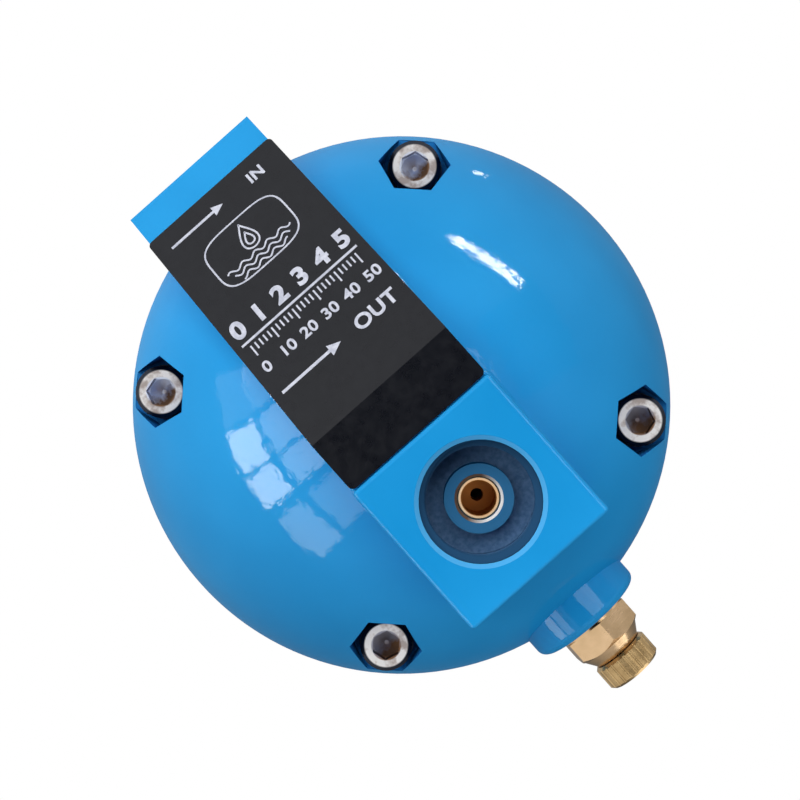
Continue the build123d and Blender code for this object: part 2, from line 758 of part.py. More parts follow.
with BuildPart() as drain_body:
    # hexagon with its lower corners turned off
    with BuildSketch(level.offset(hex_top)):
        with Locations((0, -drain_offset)):
            RegularPolygon(drain_flats / 2, 6, major_radius=False, rotation=drain_hex_turn)
    extrude(amount=-drain_hex_height)
    with BuildSketch(side) as turning:
        with BuildLine():
            Polyline(
                (-drain_offset, hex_top),
                (-drain_offset + hex_corner, hex_top),
                (-drain_offset + hex_corner, hex_foot + drain_hex_chamfer),
                (-drain_offset + drain_flats / 2, hex_foot),
                (-drain_offset, hex_foot),
                close=True,
            )
        make_face()
    revolve(axis=drain_axis, mode=Mode.INTERSECT)
    # neck cone below, threaded shank above
    with BuildSketch(side):
        with BuildLine():
            Polyline(
                (-drain_offset, hex_foot),
                (-drain_offset + cone_top_radius, hex_foot),
                (-drain_offset + cone_foot_radius, cone_foot),
                (-drain_offset, cone_foot),
                close=True,
            )
        make_face()
    revolve(axis=drain_axis)
    with BuildSketch(level.offset(hex_top)):
        with Locations((0, -drain_offset)):
            Circle(drain_thread_radius)
    extrude(amount=body_top - hex_top)
    # bore for the spindle, up to its seat
    with BuildSketch(level.offset(cone_foot)):
        with Locations((0, -drain_offset)):
            Circle(spindle_radius + spindle_gap)
    extrude(amount=spindle_seat - cone_foot, mode=Mode.SUBTRACT)
    with BuildSketch(level.offset(cone_foot)):
        with Locations((0, -drain_offset)):
            Circle(seat_passage)
    extrude(amount=body_top - cone_foot, mode=Mode.SUBTRACT)
drain_body.part.label = "drain_body"

with BuildPart() as drain_tip:
    # soft disc that closes the body's passage, with a stem in the spindle's end
    with BuildSketch(level.offset(spindle_top)):
        with Locations((0, -drain_offset)):
            Circle(tip_radius)
    extrude(amount=tip_height)
    with BuildSketch(level.offset(spindle_top)):
        with Locations((0, -drain_offset)):
            Circle(tip_stem_radius)
    extrude(amount=-tip_stem)
drain_tip.part.label = "drain_tip"

ring_foot = cone_foot + oring_rise

with BuildPart() as drain_spindle:
    # turned in one profile: nose, thread, ring groove and the end in the knob
    with BuildSketch(side):
        with BuildLine():
            Polyline(
                (-drain_offset, spindle_top),
                (-drain_offset + spindle_nose_radius, spindle_top),
                (-drain_offset + spindle_nose_radius, spindle_top - spindle_nose),
                (-drain_offset + spindle_radius, spindle_top - spindle_nose),
                (-drain_offset + spindle_radius, ring_foot + oring_section),
                (-drain_offset + spindle_radius - oring_depth, ring_foot + oring_section),
                (-drain_offset + spindle_radius - oring_depth, ring_foot),
                (-drain_offset + spindle_radius, ring_foot),
                (-drain_offset + spindle_radius, knob_foot + knob_recess),
                (-drain_offset, knob_foot + knob_recess),
                close=True,
            )
        make_face()
    revolve(axis=drain_axis)
    with BuildSketch(level.offset(spindle_top)):
        with Locations((0, -drain_offset)):
            Circle(tip_stem_radius + spindle_gap)
    extrude(amount=-tip_stem - spindle_gap, mode=Mode.SUBTRACT)
    # water hole along the spindle, fed by a cross hole in the nose
    with BuildSketch(level.offset(knob_foot)):
        with Locations((0, -drain_offset)):
            Circle(water_hole)
    extrude(amount=spindle_top - cross_drop - knob_foot, mode=Mode.SUBTRACT)
    with BuildSketch(side):
        with Locations((-drain_offset, spindle_top - cross_drop)):
            Circle(cross_hole)
    extrude(amount=spindle_radius, both=True, mode=Mode.SUBTRACT)
drain_spindle.part.label = "drain_spindle"

with BuildPart() as drain_ring:
    with BuildSketch(side):
        with Locations((-drain_offset + spindle_radius - oring_section / 2, ring_foot + oring_section / 2)):
            Circle(oring_section / 2)
            Rectangle(2 * (oring_depth - oring_section / 2), oring_section, mode=Mode.INTERSECT)
    revolve(axis=drain_axis)
drain_ring.part.label = "drain_ring"

with BuildPart() as drain_knob:
    with BuildSketch(level.offset(knob_top)):
        with Locations((0, -drain_offset)):
            Circle(knob_radius)
            with PolarLocations(knob_radius + flute_radius - flute_depth, knob_flutes):
                Circle(flute_radius, mode=Mode.SUBTRACT)
    extrude(amount=-knob_height)
    with BuildSketch(side):
        with BuildLine():
            Polyline(
                (-drain_offset, knob_top),
                (-drain_offset + knob_radius - knob_chamfer, knob_top),
                (-drain_offset + knob_radius, knob_top - knob_chamfer),
                (-drain_offset + knob_radius, knob_foot + knob_chamfer),
                (-drain_offset + knob_radius - knob_chamfer, knob_foot),
                (-drain_offset, knob_foot),
                close=True,
            )
        make_face()
    revolve(axis=drain_axis, mode=Mode.INTERSECT)
    # socket on the spindle, and the water hole below it
    with BuildSketch(level.offset(knob_foot + knob_recess)):
        with Locations((0, -drain_offset)):
            Circle(spindle_radius)
    extrude(amount=knob_height, mode=Mode.SUBTRACT)
    with BuildSketch(level.offset(knob_foot)):
        with Locations((0, -drain_offset)):
            Circle(knob_hole)
    extrude(amount=knob_height, mode=Mode.SUBTRACT)
drain_knob.part.label = "drain_knob"

# ================= files =================

os.makedirs("parts", exist_ok=True)
export_step(front_shell.part, "parts/front_shell.step")
export_step(rear_shell.part, "parts/rear_shell.step")
export_step(shell_seal.part, "parts/shell_seal.step")
export_step(shell_bolts.part, "parts/shell_bolts.step")
export_step(lock_washers.part, "parts/lock_washers.step")
export_step(nut_washers.part, "parts/nut_washers.step")
export_step(shell_nuts.part, "parts/shell_nuts.step")
export_step(label_plate.part, "parts/label_plate.step")
export_step(outlet_nozzle.part, "parts/outlet_nozzle.step")
export_step(nozzle_ring.part, "parts/nozzle_ring.step")
export_step(lever_bracket.part, "parts/lever_bracket.step")
export_step(bracket_screws.part, "parts/bracket_screws.step")
export_step(pivot_pin.part, "parts/pivot_pin.step")
export_step(pin_clips.part, "parts/pin_clips.step")
export_step(lever_arm.part, "parts/lever_arm.step")
export_step(plug_holder.part, "parts/plug_holder.step")
export_step(valve_plug.part, "parts/valve_plug.step")
export_step(float_front_half.part, "parts/float_front_half.step")
export_step(float_rear_half.part, "parts/float_rear_half.step")
export_step(float_stud.part, "parts/float_stud.step")
export_step(float_nut.part, "parts/float_nut.step")
export_step(drain_washer.part, "parts/drain_washer.step")
export_step(drain_body.part, "parts/drain_body.step")
export_step(drain_tip.part, "parts/drain_tip.step")
export_step(drain_spindle.part, "parts/drain_spindle.step")
export_step(drain_ring.part, "parts/drain_ring.step")
export_step(drain_knob.part, "parts/drain_knob.step")
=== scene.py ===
"""An automatic float drain valve: finishes, port threads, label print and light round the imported
model. Lengths are metres, and MM turns millimetres into them."""
import json
import math

import bmesh
import bpy
import numpy as np
from mathutils import Matrix, Vector


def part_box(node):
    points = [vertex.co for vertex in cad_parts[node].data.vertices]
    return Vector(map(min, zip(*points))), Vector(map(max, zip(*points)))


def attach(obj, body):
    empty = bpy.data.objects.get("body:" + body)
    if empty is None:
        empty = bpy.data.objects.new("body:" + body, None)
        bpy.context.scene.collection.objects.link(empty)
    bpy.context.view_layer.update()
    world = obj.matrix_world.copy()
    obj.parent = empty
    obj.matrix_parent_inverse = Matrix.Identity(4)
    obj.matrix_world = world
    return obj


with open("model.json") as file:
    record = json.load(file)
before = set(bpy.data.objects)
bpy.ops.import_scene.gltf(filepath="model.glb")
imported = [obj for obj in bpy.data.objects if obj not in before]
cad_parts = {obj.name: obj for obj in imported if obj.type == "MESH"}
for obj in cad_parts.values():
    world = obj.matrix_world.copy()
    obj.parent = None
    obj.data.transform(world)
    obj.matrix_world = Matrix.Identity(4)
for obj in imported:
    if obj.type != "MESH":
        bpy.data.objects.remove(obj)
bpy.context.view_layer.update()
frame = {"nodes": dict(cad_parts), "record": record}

MM = 0.001
NODES = frame["nodes"]
MOUNTS = {m["name"]: m for m in frame["record"]["mounts"]}

# ---------------------------------------------------------------- places and sizes on the valve

BALL_LOW, BALL_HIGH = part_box("rear_shell")
BALL = Vector(((BALL_LOW.x + BALL_HIGH.x) / 2, BALL_LOW.y, (BALL_LOW.z + BALL_HIGH.z) / 2))
DRAIN_LOW, DRAIN_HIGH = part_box("drain_body")
DRAIN = Vector(((DRAIN_LOW.x + DRAIN_HIGH.x) / 2, (DRAIN_LOW.y + DRAIN_HIGH.y) / 2, DRAIN_LOW.z))
LABEL_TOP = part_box("label_plate")[1].z

OUTLET = Vector(MOUNTS["outlet_port"]["pos_m"])
INLET = Vector(MOUNTS["inlet_port"]["pos_m"])
PORT_RADIUS = MOUNTS["outlet_port"]["dims"]["r_mm"] * MM
OUTLET_THREAD = MOUNTS["outlet_port"]["dims"]["length_mm"] * MM
INLET_THREAD = MOUNTS["inlet_port"]["dims"]["length_mm"] * MM

HEAD_RADIUS = 5.0 * MM                       # a screw's head
SOCKET_RADIUS = 2.9 * MM                     # and the round that its socket's corners lie on
POCKET_REACH = 6.0 * MM                      # from a screw pocket's centre to its flats
BOLT_LOW, BOLT_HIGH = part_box("shell_bolts")
BOLT_SPOT = (BOLT_HIGH.x - BOLT_LOW.x) / 2 - HEAD_RADIUS    # screws stand at +-this in x and z

# depths in the outlet are measured from its mount, where the full thread starts
PORT_DEPTH = 15.5 * MM                       # foot of the port's paint, past the port's floor
LIP_DEPTH = 0.76 * MM                        # the chamfer round the mouth, short of its face
BOSS_RADIUS = 6.1 * MM                       # the boss round the nozzle
BOSS_DEPTH = 8.7 * MM                        # and that boss's top
HOLE_RADIUS = 3.8 * MM                       # the nozzle's hole in the boss
HOLE_CHAMFER = 0.55 * MM                     # with a little to spare
BORE_RADIUS = 3.25 * MM                      # the nozzle's own bore, with its lead-in
MARGIN = 0.05 * MM                           # how far a painted zone runs past its edge

# ---------------------------------------------------------------- camera

CAMERA_DISTANCE = 0.350
CAMERA_SIDE = 0.0043
CAMERA_ROLL = math.radians(41.6)             # the valve is tipped this far to the left
LENS = 76.05
SENSOR = 36.0
SHIFT_ACROSS, SHIFT_UP = -0.001875, 0.00625  # shares of the frame's width


def place_camera():
    """A lens level with the ball's centre, in front of it, rolled about its own axis."""
    lens = bpy.data.cameras.new("camera")
    lens.lens, lens.sensor_width = LENS, SENSOR
    lens.shift_x, lens.shift_y = SHIFT_ACROSS, SHIFT_UP
    lens.clip_start = 0.01
    seat = BALL + Vector((CAMERA_SIDE, -CAMERA_DISTANCE, 0))
    away = (seat - BALL).normalized()
    level_right = Vector((0, 0, 1)).cross(away).normalized()
    level_up = away.cross(level_right)
    right = level_right * math.cos(CAMERA_ROLL) - level_up * math.sin(CAMERA_ROLL)
    turn = Matrix((right, away.cross(right), away)).transposed().to_4x4()
    camera = bpy.data.objects.new("camera", lens)
    camera.matrix_world = Matrix.Translation(seat) @ turn
    bpy.context.scene.collection.objects.link(camera)
    bpy.context.scene.camera = camera


place_camera()


# ---------------------------------------------------------------- finishes

class Wiring:
    """A node tree, with the kinds of node that the finishes and the world are made of."""

    def __init__(self, tree):
        self.nodes, self.links = tree.nodes, tree.links

    def join(self, source, socket):
        """Links a socket to another, or sets it to a plain value."""
        if isinstance(source, bpy.types.NodeSocket):
            self.links.new(source, socket)
        else:
            socket.default_value = source

    def calc(self, operation, *values):
        """One Math node."""
        node = self.nodes.new("ShaderNodeMath")
        node.operation = operation
        for socket, value in zip(node.inputs, values):
            self.join(value, socket)
        return node.outputs[0]

    def chain(self, operation, first, *others):
        """The same operation over any number of values."""
        for other in others:
            first = self.calc(operation, first, other)
        return first

    def weighed(self, a, a_share, b, b_share):
        """The sum of two values, each times its share."""
        return self.calc("ADD", self.calc("MULTIPLY", a, a_share),
                         self.calc("MULTIPLY", b, b_share))

    def length(self, a, b):
        """The root of the sum of two squares."""
        return self.calc("SQRT", self.weighed(a, a, b, b))

    def between(self, value, low, high):
        """One inside low..high, and nothing outside."""
        return self.calc("MULTIPLY", self.calc("GREATER_THAN", value, low),
                         self.calc("LESS_THAN", value, high))

    def folded(self, value, spot):
        """Distance past a spot, alike on both sides of nought."""
        return self.calc("SUBTRACT", self.calc("ABSOLUTE", value), spot)

    def axes(self, vector):
        """A vector's three parts."""
        node = self.nodes.new("ShaderNodeSeparateXYZ")
        self.links.new(vector, node.inputs[0])
        return node.outputs

    def ramp(self, value, low, high, out_low=0.0, out_high=1.0, smooth=False):
        """Value taken from low..high to out_low..out_high, and held at the ends."""
        node = self.nodes.new("ShaderNodeMapRange")
        node.interpolation_type = "SMOOTHSTEP" if smooth else "LINEAR"
        for socket, source in (("Value", value), ("From Min", low), ("From Max", high),
                               ("To Min", out_low), ("To Max", out_high)):
            self.join(source, node.inputs[socket])
        return node.outputs["Result"]


class Finish(Wiring):
    """A material round one Principled shader, on Object coordinates."""

    def __init__(self, name):
        self.material = bpy.data.materials.new(name)
        self.material.use_nodes = True
        super().__init__(self.material.node_tree)
        self.shader = self.nodes["Principled BSDF"]
        self.place = self.nodes.new("ShaderNodeTexCoord").outputs["Object"]

    def set(self, **values):
        """Sets or links the shader's own sockets, and gives back the material."""
        for name, value in values.items():
            self.join(value, self.shader.inputs[name.replace("_", " ")])
        return self.material

    def moved(self, centre):
        """Object coordinates with centre as their origin."""
        node = self.nodes.new("ShaderNodeMapping")
        node.vector_type = "POINT"
        self.links.new(self.place, node.inputs["Vector"])
        node.inputs["Location"].default_value = [-c for c in centre]
        return node.outputs[0]

    def noise(self, scale, detail=2.0, vector=None):
        """Cloudy noise, with scale clouds to the metre."""
        node = self.nodes.new("ShaderNodeTexNoise")
        self.links.new(vector or self.place, node.inputs["Vector"])
        node.inputs["Scale"].default_value = scale
        node.inputs["Detail"].default_value = detail
        node.inputs["Roughness"].default_value = 0.55
        return node.outputs["Fac"]

    def cloud(self, scale, detail=2.0, spread=0.2, out_low=0.0, out_high=1.0):
        """Noise whose middle part, spread to each side of a half, covers out_low..out_high."""
        return self.ramp(self.noise(scale, detail), 0.5 - spread, 0.5 + spread, out_low, out_high)

    def rings(self, grooves, radius, along=0.0):
        """Lathe rings: noise read at the radius and the place along the axis."""
        line = self.nodes.new("ShaderNodeCombineXYZ")
        self.join(radius, line.inputs[0])
        self.join(along, line.inputs[1])
        return self.noise(grooves, vector=line.outputs[0])

    def blend(self, share, first, second):
        """Two colours mixed by share."""
        node = self.nodes.new("ShaderNodeMix")
        node.data_type = "RGBA"
        self.join(share, node.inputs["Factor"])
        for colour, socket in ((first, node.inputs["A"]), (second, node.inputs["B"])):
            self.join(colour if isinstance(colour, bpy.types.NodeSocket) else (*colour, 1), socket)
        return node.outputs["Result"]

    def bump(self, height, distance, strength=1.0, under=None):
        """A height of 0..1 raised by distance, over an earlier bump if one is given."""
        node = self.nodes.new("ShaderNodeBump")
        self.join(height, node.inputs["Height"])
        node.inputs["Distance"].default_value = distance
        node.inputs["Strength"].default_value = strength
        if under is not None:
            self.links.new(under, node.inputs["Normal"])
        return node.outputs["Normal"]


def hexagon_reach(f, x, z):
    """Distance from a hexagon's centre to its flats' lines: the largest of the projections on
    three directions, 60 degrees apart. Its corners point across the line from the ball's centre."""
    directions = [math.radians(45 + 60 * k) for k in range(3)]
    return f.chain("MAXIMUM", *(f.calc("ABSOLUTE", f.weighed(x, math.cos(a), z, math.sin(a)))
                                for a in directions))


def housing_paint():
    """Glossy blue paint on cast aluminium: deep and even on the ball, thin, duller and uncoated in
    the screw pockets and down the outlet, where its colour is darkened as painted shade. The
    chamfer round the outlet's mouth is paler as a painted highlight, and the nozzle hole's chamfer
    has a painted highlight on one side and painted shade on the other."""
    deep_blue, full_blue = (0.010, 0.272, 0.630), (0.016, 0.312, 0.700)
    # the lip blue is paler as a painted highlight on the chamfer round the outlet's mouth
    seam_blue, lip_highlight_blue = (0.003, 0.070, 0.200), (0.075, 0.400, 0.780)
    # the pocket and boss blues are painted shade, darker down in those recesses
    pocket_shade_blue, boss_shade_blue = (0.014, 0.160, 0.460), (0.030, 0.150, 0.320)
    # painted shade down the outlet: a dark colour near the mouth and a grainy pair of dark blues on
    # its floor
    port_shade, shaded_floor_dark, shaded_floor_pale = ((0.020, 0.075, 0.165), (0.080, 0.170, 0.320),
                                        (0.125, 0.245, 0.440))
    # the nozzle hole's chamfer: a pale painted highlight on one side, painted shade in dark brown
    # on the rest
    chamfer_shade_brown, chamfer_highlight = (0.16, 0.10, 0.07), (0.85, 0.85, 0.85)
    clear_coat, dull = 0.26, 0.75

    f = Finish("housing_paint")
    x, y, z = f.axes(f.moved(BALL))
    # one pocket stands for the four, which lie alike in the four quarters
    reach = hexagon_reach(f, f.folded(x, BOLT_SPOT), f.folded(z, BOLT_SPOT))
    pocket = f.calc("LESS_THAN", reach, POCKET_REACH)
    # the joint line between the two halves
    seam = f.ramp(f.calc("ABSOLUTE", y), 0.05 * MM, 0.16 * MM, 1.0, 0.0)

    # the outlet, where down runs from its mouth into the block
    across, down, up = f.axes(f.moved(OUTLET))
    radius = f.length(across, up)
    inside = f.between(down, MARGIN, PORT_DEPTH)
    port = f.calc("MULTIPLY", inside,
                  f.between(radius, BOSS_RADIUS + MARGIN, PORT_RADIUS + 2 * MARGIN))
    # the boss's zone, which carries painted shade
    boss = f.calc("MULTIPLY", inside, f.calc("LESS_THAN", radius, BOSS_RADIUS + MARGIN))
    lip = f.calc("MULTIPLY", f.between(down, -LIP_DEPTH, MARGIN),
                 f.calc("LESS_THAN", radius, PORT_RADIUS + 2 * LIP_DEPTH))
    chamfer = f.calc("MULTIPLY", f.calc("LESS_THAN", radius, HOLE_RADIUS + HOLE_CHAMFER),
                     f.between(down, BOSS_DEPTH + 0.03 * MM, BOSS_DEPTH + 0.8 * MM))
    # painted shade in the outlet, darkest near the mouth and grainy on the floor
    shaded_floor_blue = f.blend(f.cloud(1100.0, 3.0, 0.15), shaded_floor_dark, shaded_floor_pale)
    port_shade_blue = f.blend(f.ramp(down, 2.0 * MM, 13.0 * MM, smooth=True), port_shade, shaded_floor_blue)
    # the side of the nozzle hole's chamfer, towards lower right, that takes the painted highlight
    highlight_side = f.ramp(f.weighed(across, 0.5, up, -0.85), -0.8 * MM, 2.8 * MM)

    colour = f.blend(f.cloud(28.0, spread=0.15), deep_blue, full_blue)
    # lays the dark joint line and the zones of painted highlight and painted shade over the blue
    for zone, paint in ((seam, seam_blue), (lip, lip_highlight_blue), (pocket, pocket_shade_blue),
                        (boss, boss_shade_blue), (port, port_shade_blue),
                        (chamfer, f.blend(highlight_side, chamfer_shade_brown, chamfer_highlight))):
        colour = f.blend(zone, colour, paint)
    thin = f.chain("MAXIMUM", pocket, f.calc("MULTIPLY", lip, 0.9), port, boss)
    peel = f.bump(f.noise(900.0), 0.020 * MM)
    wavy = f.bump(f.noise(260.0), 0.060 * MM, 1.0, peel)
    return f.set(Base_Color=colour, Specular_IOR_Level=0.0,
                 Roughness=f.calc("MAXIMUM", f.cloud(180.0, out_low=0.30, out_high=0.42),
                                  f.ramp(thin, 0.0, 1.0, 0.0, dull)),
                 Coat_Weight=f.ramp(thin, 0.0, 1.0, clear_coat, 0.0), Coat_Roughness=0.05,
                 Coat_IOR=1.5, Coat_Normal=wavy,
                 Normal=f.bump(f.calc("MULTIPLY", seam, -1.0), 0.08 * MM, 1.0, wavy))


def label_black():
    """Satin black plastic plate with a faint moulded grain."""
    f = Finish("label_black")
    return f.set(Base_Color=f.blend(f.cloud(140.0, 3.0), (0.0030, 0.0038, 0.0065),
                                    (0.0045, 0.0053, 0.0085)),
                 Roughness=f.cloud(600.0, out_low=0.26, out_high=0.36), Specular_IOR_Level=0.31,
                 Normal=f.bump(f.noise(2600.0), 0.01 * MM, 0.35))


def label_print():
    """Pale ink, slightly uneven in its cover."""
    f = Finish("label_print")
    return f.set(Base_Color=f.blend(f.cloud(900.0, 3.0, 0.15), (0.44, 0.46, 0.55),
                                    (0.60, 0.62, 0.71)),
                 Roughness=0.55, Normal=f.bump(f.noise(2000.0), 0.01 * MM, 0.3))


def turned_metal(name, dark, light, centre, axis, rough, bore=None):
    """Metal turned on a lathe: rings round the axis in roughness and height, under cloudy stains.
    A bore, given as its radius and colour, is darker and duller than the rest."""
    f = Finish(name)
    x, y, z = f.axes(f.moved(centre))
    across, along = (z, y) if axis == "y" else (y, z)
    radius = f.length(x, across)
    rings = f.rings(2600.0, radius, along)
    stain = f.noise(160.0, 3.0)
    colour = f.blend(f.ramp(stain, 0.3, 0.7), dark, light)
    roughness = f.ramp(f.weighed(rings, 0.5, stain, 0.5), 0.3, 0.7, rough - 0.08, rough + 0.12)
    if bore:
        within = f.ramp(radius, bore[0] - 0.15 * MM, bore[0], 1.0, 0.0)
        colour = f.blend(within, colour, bore[1])
        roughness = f.calc("MAXIMUM", roughness, f.ramp(within, 0.0, 1.0, 0.0, 0.6))
    return f.set(Base_Color=colour, Metallic=1.0, Roughness=roughness,
                 Normal=f.bump(rings, 0.012 * MM, 0.5))


def plain_metal(name, dark, light, rough):
    """Rolled or plated metal: cloudy in colour, with fine scratches."""
    f = Finish(name)
    return f.set(Base_Color=f.blend(f.cloud(220.0, 4.0), dark, light), Metallic=1.0,
                 Roughness=f.cloud(700.0, 3.0, 0.2, rough - 0.08, rough + 0.12),
                 Normal=f.bump(f.noise(1500.0, 3.0), 0.008 * MM, 0.5))


def bolt_steel():
    """Plated steel screws: lathe rings on each head's face, knurled round its side, painted shade
    round the rim, and painted light and shade down in the socket, lighter in the two upper screws
    and darker in the two lower, with brown grime at its foot. The four heads lie alike, so the
    coordinates are folded to one quarter."""
    stained, plate = (0.52, 0.45, 0.42), (1.0, 0.98, 0.97)
    edge_shade, grime_brown = (0.035, 0.04, 0.055), (0.24, 0.13, 0.07)
    # the sockets' greys: painted light in the upper screws, painted shade in the lower ones
    shaded_socket_grey, lit_socket_grey = (0.36, 0.36, 0.43), (0.80, 0.86, 1.0)
    knurls = 48.0

    f = Finish("bolt_steel")
    x, y, z = f.axes(f.moved(BALL))
    across, outward = f.folded(x, BOLT_SPOT), f.folded(z, BOLT_SPOT)
    radius = f.length(across, outward)
    socket = f.calc("MULTIPLY", f.calc("LESS_THAN", y, 0.0),
                    f.ramp(radius, SOCKET_RADIUS - 0.15 * MM, SOCKET_RADIUS + 0.1 * MM, 1.0, 0.0))
    edge = f.ramp(radius, HEAD_RADIUS - 0.95 * MM, HEAD_RADIUS - 0.70 * MM)
    plated = f.blend(f.ramp(f.noise(350.0, 4.0), 0.38, 0.54), stained, plate)
    plated = f.blend(edge, plated, edge_shade)
    height = f.calc("SUBTRACT", z, f.calc("MULTIPLY", f.calc("SIGN", z), BOLT_SPOT))
    ragged = f.calc("ADD", height, f.cloud(420.0, 3.0, 0.2, -1.2 * MM, 1.2 * MM))
    # painted light and shade in the sockets, switched by the screw's height
    grey = f.blend(f.ramp(z, -MM, MM), shaded_socket_grey, lit_socket_grey)
    socket_grime_and_shade = f.blend(f.ramp(ragged, -1.4 * MM, 0.6 * MM), grime_brown, grey)
    side = f.calc("GREATER_THAN", radius, HEAD_RADIUS - 0.12 * MM)
    angle = f.calc("ARCTAN2", outward, across)
    knurl = f.calc("MULTIPLY", side, f.calc("SINE", f.calc("MULTIPLY", angle, knurls)))
    turned = f.bump(f.rings(3200.0, radius), 0.012 * MM, 0.6)
    return f.set(Base_Color=f.blend(socket, plated, socket_grime_and_shade), Metallic=1.0,
                 Roughness=f.calc("MAXIMUM", f.cloud(700.0, 3.0, 0.2, 0.36, 0.54),
                                  f.ramp(socket, 0.0, 1.0, 0.0, 0.50)),
                 Normal=f.bump(knurl, 0.10 * MM, 0.8, turned))


def black_rubber():
    """Moulded rubber, matt and slightly dusty."""
    f = Finish("black_rubber")
    return f.set(Base_Color=f.blend(f.cloud(300.0, 3.0), (0.012, 0.012, 0.013),
                                    (0.03, 0.03, 0.032)),
                 Roughness=f.cloud(500.0, out_low=0.6, out_high=0.8),
                 Normal=f.bump(f.noise(1200.0), 0.02 * MM, 0.4))


PAINT = housing_paint()
LABEL = label_black()
INK = label_print()
ZINC_STEEL = plain_metal("zinc_steel", (0.55, 0.53, 0.51), (0.75, 0.73, 0.70), 0.42)
# the lock washers are darkened as painted shade down in the screw pockets
SHADED_WASHER_STEEL = plain_metal("shaded_washer_steel", (0.10, 0.105, 0.12), (0.20, 0.20, 0.22), 0.45)
STAINLESS = plain_metal("stainless", (0.50, 0.50, 0.49), (0.66, 0.66, 0.65), 0.25)
BOLT_STEEL = bolt_steel()
NOZZLE_BRASS = turned_metal("nozzle_brass", (0.74, 0.46, 0.24), (0.95, 0.72, 0.48), OUTLET, "y",
                            0.24, bore=(BORE_RADIUS, (0.62, 0.28, 0.08)))
DRAIN_BRASS = turned_metal("drain_brass", (0.56, 0.38, 0.20), (0.78, 0.54, 0.32), DRAIN, "z", 0.20)
KNOB_BRASS = turned_metal("knob_brass", (0.30, 0.19, 0.08), (0.64, 0.45, 0.22), DRAIN, "z", 0.26)
RUBBER = black_rubber()

FINISHED_NODES = (
    (PAINT, ("front_shell", "rear_shell")),
    (LABEL, ("label_plate",)),
    (RUBBER, ("shell_seal", "nozzle_ring", "valve_plug", "drain_tip", "drain_ring")),
    (BOLT_STEEL, ("shell_bolts",)),
    (SHADED_WASHER_STEEL, ("lock_washers",)),
    (ZINC_STEEL, ("nut_washers", "shell_nuts", "bracket_screws")),
    (NOZZLE_BRASS, ("outlet_nozzle", "plug_holder")),
    (DRAIN_BRASS, ("drain_body", "drain_spindle", "drain_washer")),
    (KNOB_BRASS, ("drain_knob",)),
    (STAINLESS, ("lever_bracket", "pivot_pin", "pin_clips", "lever_arm", "float_front_half",
                 "float_rear_half", "float_stud", "float_nut")),
)
for finish, names in FINISHED_NODES:
    for node in names:
        for held in NODES[node].material_slots:
            held.material = finish


# ---------------------------------------------------------------- meshes that ride on the housing

def fitted(name, mesh, finish):
    """Puts a finished mesh on the housing, with the finish as its only material."""
    mesh.materials.clear()
    mesh.materials.append(finish)
    piece = bpy.data.objects.new(name, mesh)
    bpy.context.scene.collection.objects.link(piece)
    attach(piece, "housing")


def outwards(mesh):
    """Merges doubles and turns the faces to point out of the solid."""
    work = bmesh.new()
    work.from_mesh(mesh)
    bmesh.ops.remove_doubles(work, verts=work.verts, dist=1e-7)
    bmesh.ops.recalc_face_normals(work, faces=work.faces)
    work.to_mesh(mesh)
    work.free()


def solid(name, points, faces, finish):
    """A closed mesh from its points and faces."""
    mesh = bpy.data.meshes.new(name)
    mesh.from_pydata(points.tolist(), [], faces)
    outwards(mesh)
    fitted(name, mesh, finish)


# ---------------------------------------------------------------- threads in the ports

THREAD_PITCH = 1.814 * MM
THREAD_HEIGHT = 1.162 * MM
THREAD_FOOT, THREAD_CREST = 0.46, 0.09       # half widths of the ridge, in pitches
THREAD_SINK = 0.02 * MM                      # how deep the ridge's foot sits in the wall
BARE_TURNS = 0.6                             # left without thread at each end
STEPS_PER_TURN = 72


def port_thread(name, mouth, out, length):
    """An inside thread as one ridge: a four-cornered section, wide on the wall and narrow at the
    crest, carried along a helix down the bore. It fades out over its first and last half turn."""
    turns = length / THREAD_PITCH - 2 * BARE_TURNS
    steps = int(turns * STEPS_PER_TURN)
    angle = np.linspace(0, 2 * math.pi * turns, steps)
    fade = np.clip(np.minimum(angle, angle[-1] - angle) / math.pi, 0.02, 1)
    rise = np.array([0.0, 1.0, 1.0, 0.0])
    along = np.array([-THREAD_FOOT, -THREAD_CREST, THREAD_CREST, THREAD_FOOT]) * THREAD_PITCH
    radius = PORT_RADIUS + THREAD_SINK - np.outer(fade, rise) * THREAD_HEIGHT
    depth = (angle / (2 * math.pi) + BARE_TURNS)[:, None] * THREAD_PITCH + along[None, :]
    out = Vector(out)
    side = Vector((1, 0, 0))
    other = out.cross(side)
    spots = (np.array(mouth)[None, None, :] - depth[..., None] * np.array(out)
             + (radius * np.cos(angle)[:, None])[..., None] * np.array(side)
             + (radius * np.sin(angle)[:, None])[..., None] * np.array(other))
    row = np.arange(steps - 1)[:, None] * 4
    corner = np.arange(4)[None, :]
    beside = (corner + 1) % 4
    faces = np.stack([row + corner, row + beside, row + 4 + beside, row + 4 + corner], -1)
    ends = [[0, 3, 2, 1], [4 * steps - 4 + k for k in range(4)]]
    solid(name, spots.reshape(-1, 3), faces.reshape(-1, 4).tolist() + ends, PAINT)


port_thread("outlet_thread", OUTLET, (0, -1, 0), OUTLET_THREAD)
port_thread("inlet_thread", INLET, (0, 0, 1), INLET_THREAD)


# ---------------------------------------------------------------- print on the label

INK_LIFT = 0.02 * MM                         # the middle of the ink, above the plate
INK_DEPTH = 0.04 * MM
INK_LINE = 0.34 * MM                         # width of the sign's lines


def label_slope():
    """The label's sloping front face, as its area-weighted centre and normal: of the faces that
    look forwards, those that look 17 to 37 degrees up and aren't slivers."""
    centre, normal, area = Vector(), Vector(), 0.0
    for face in NODES["label_plate"].data.polygons:
        if face.normal.y < -0.5 and 0.3 < face.normal.z < 0.6 and face.area > 1e-5:
            centre += face.center * face.area
            normal += face.normal * face.area
            area += face.area
    return centre / area, normal.normalized()


